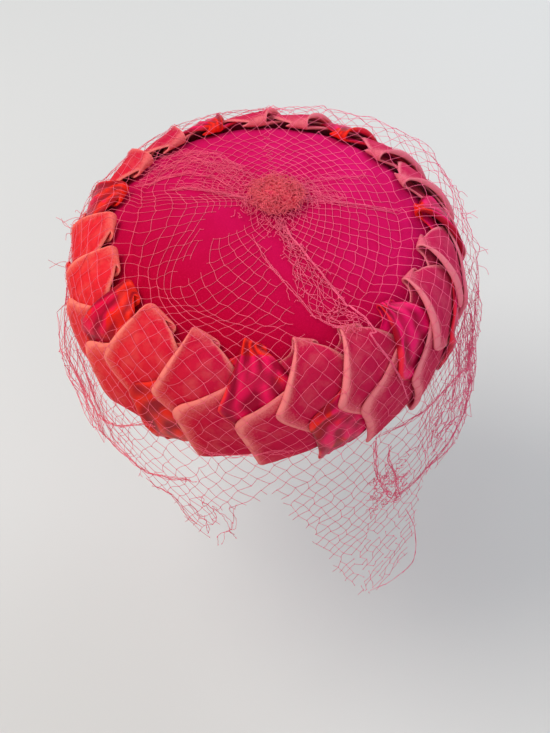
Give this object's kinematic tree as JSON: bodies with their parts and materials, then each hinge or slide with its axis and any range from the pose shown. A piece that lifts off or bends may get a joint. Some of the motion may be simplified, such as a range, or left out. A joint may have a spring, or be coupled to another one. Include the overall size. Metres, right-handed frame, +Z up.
{
  "type": "pillbox hat",
  "caption": "Soft pillbox hat with a domed cloth crown, a thick plait of velvet and satin ribbon round its side, and a torn net veil gathered on top.",
  "frame": {"origin": "middle of the head opening, in the plane of the crown's rim, where the head sits", "axes": "+Z up through the crown's top, -Y towards the camera's side of the hat, +X to the right in the picture"},
  "size_m": [0.2538, 0.2534, 0.2768],
  "materials": {
    "crown": "crimson to magenta felted cloth with a short nap",
    "plait_velvet_1": "coral red velvet ribbon",
    "plait_velvet_2": "coral red velvet ribbon",
    "plait_satin": "magenta satin ribbon with an orange-red back",
    "veil": "thin pink thread net",
    "veil_gather": "crumpled orange-pink net"
  },
  "bodies": {
    "root": {"crown_rim": "crown", "crown_side": "crown", "crown_top": "crown", "plait_velvet_1": "plait_velvet_1", "plait_velvet_2": "plait_velvet_2", "plait_satin": "plait_satin", "veil": "veil", "veil_gather": "veil_gather"}
  },
  "joints": []
}
